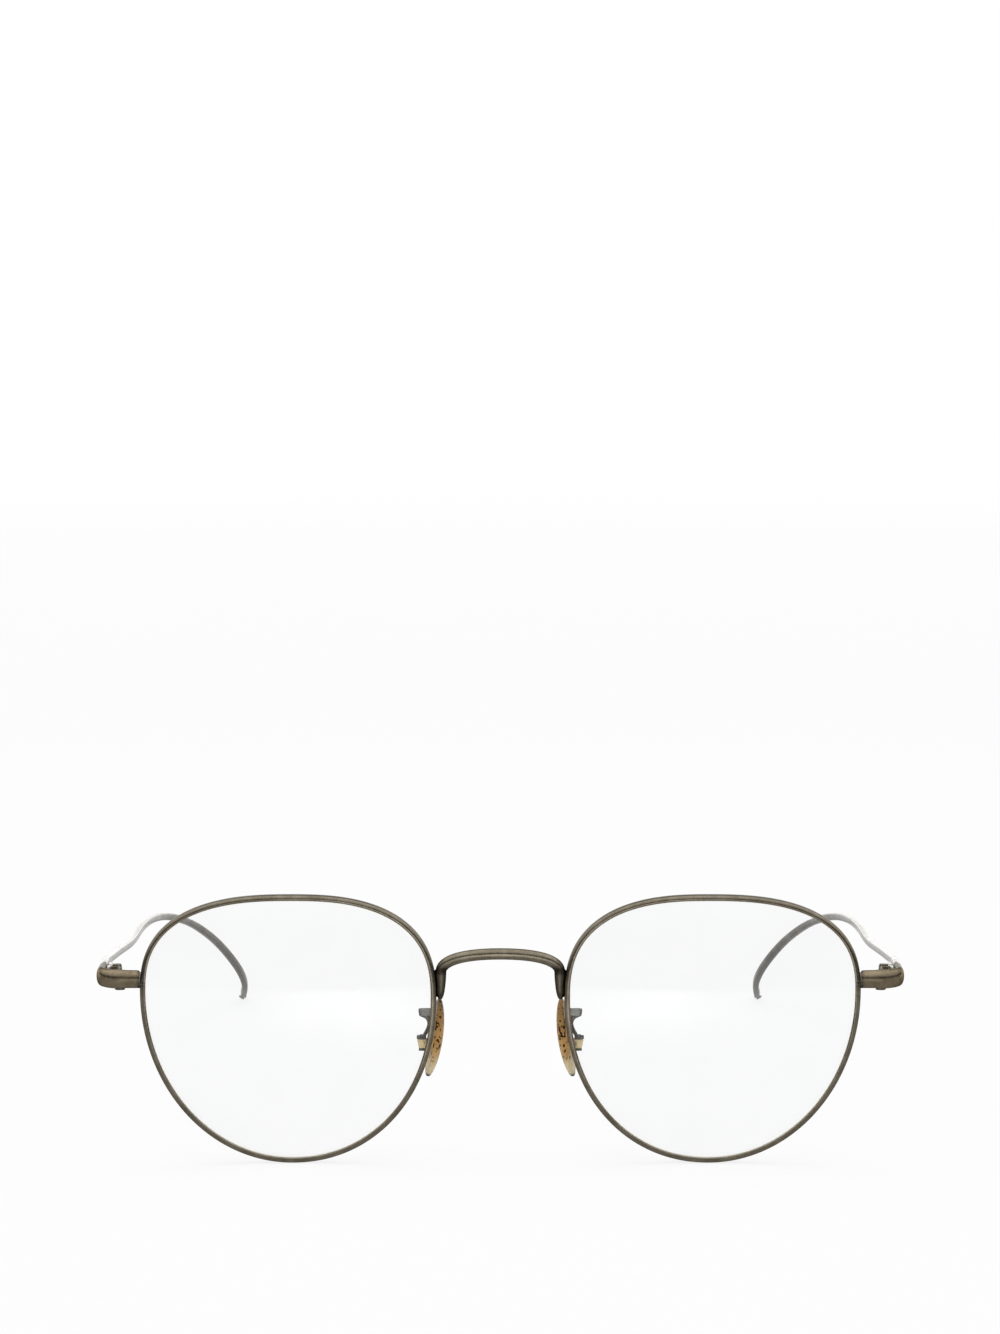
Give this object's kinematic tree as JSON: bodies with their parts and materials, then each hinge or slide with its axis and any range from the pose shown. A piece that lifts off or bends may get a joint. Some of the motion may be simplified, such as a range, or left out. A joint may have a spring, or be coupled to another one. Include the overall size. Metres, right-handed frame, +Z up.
{
  "type": "eyeglasses",
  "caption": "Round wire-rim eyeglasses: clear lenses in thin metal rims, an arched bridge, rocking nose pads on thin arms, and wire temples that fold and curve over the ears.",
  "frame": {"origin": "on the table under the middle of the open glasses: the rims' lowest points and the temple tips are at z = 0", "axes": "+Z up, -Y the way the wearer looks, +Y back along the temples, +X the wearer's left side"},
  "size_m": [0.135, 0.1426, 0.0449],
  "materials": {
    "rim_metal": "antiqued, satin",
    "bridge_metal": "antiqued, satin",
    "end_metal": "antiqued, satin",
    "hinge_metal": "darkened",
    "temple_metal": "satin pewter",
    "arm_metal": "satin",
    "screw_metal": "darkened",
    "clear_lens": "clear, polished",
    "amber_plastic": "polished tortoise"
  },
  "bodies": {
    "front": {"bridge": "bridge_metal", "left_rim": "rim_metal", "right_rim": "rim_metal", "left_lens": "clear_lens", "right_lens": "clear_lens", "left_end_piece": "end_metal", "right_end_piece": "end_metal", "left_upper_lock_block": "rim_metal", "right_upper_lock_block": "rim_metal", "left_lower_lock_block": "rim_metal", "right_lower_lock_block": "rim_metal", "left_lock_screw": "screw_metal", "right_lock_screw": "screw_metal", "left_front_hinge_leaf": "hinge_metal", "right_front_hinge_leaf": "hinge_metal", "left_hinge_screw": "screw_metal", "right_hinge_screw": "screw_metal", "left_pad_arm": "arm_metal", "right_pad_arm": "arm_metal", "left_pad_clip": "arm_metal", "right_pad_clip": "arm_metal", "left_pad_screw": "screw_metal", "right_pad_screw": "screw_metal"},
    "left_temple": {"left_temple": "temple_metal", "left_temple_hinge_leaf": "hinge_metal"},
    "right_temple": {"right_temple": "temple_metal", "right_temple_hinge_leaf": "hinge_metal"},
    "left_pad": {"left_nose_pad": "amber_plastic"},
    "right_pad": {"right_nose_pad": "amber_plastic"}
  },
  "joints": [
    {"name": "left_temple_fold", "type": "hinge", "parent": "front", "child": "left_temple", "pos_m": [0.06379, -0.05973, 0.03029], "axis": [0, 0, 1], "range_deg": [0, 85]},
    {"name": "right_temple_fold", "type": "hinge", "parent": "front", "child": "right_temple", "pos_m": [-0.06379, -0.05973, 0.03029], "axis": [0, 0, -1], "range_deg": [0, 81]},
    {"name": "left_pad_rock", "type": "hinge", "parent": "front", "child": "left_pad", "pos_m": [0.01305, -0.06044, 0.01844], "axis": [0, 0, 1], "range_deg": [-10, 10]},
    {"name": "right_pad_rock", "type": "hinge", "parent": "front", "child": "right_pad", "pos_m": [-0.01305, -0.06044, 0.01844], "axis": [0, 0, -1], "range_deg": [-10, 10]}
  ]
}
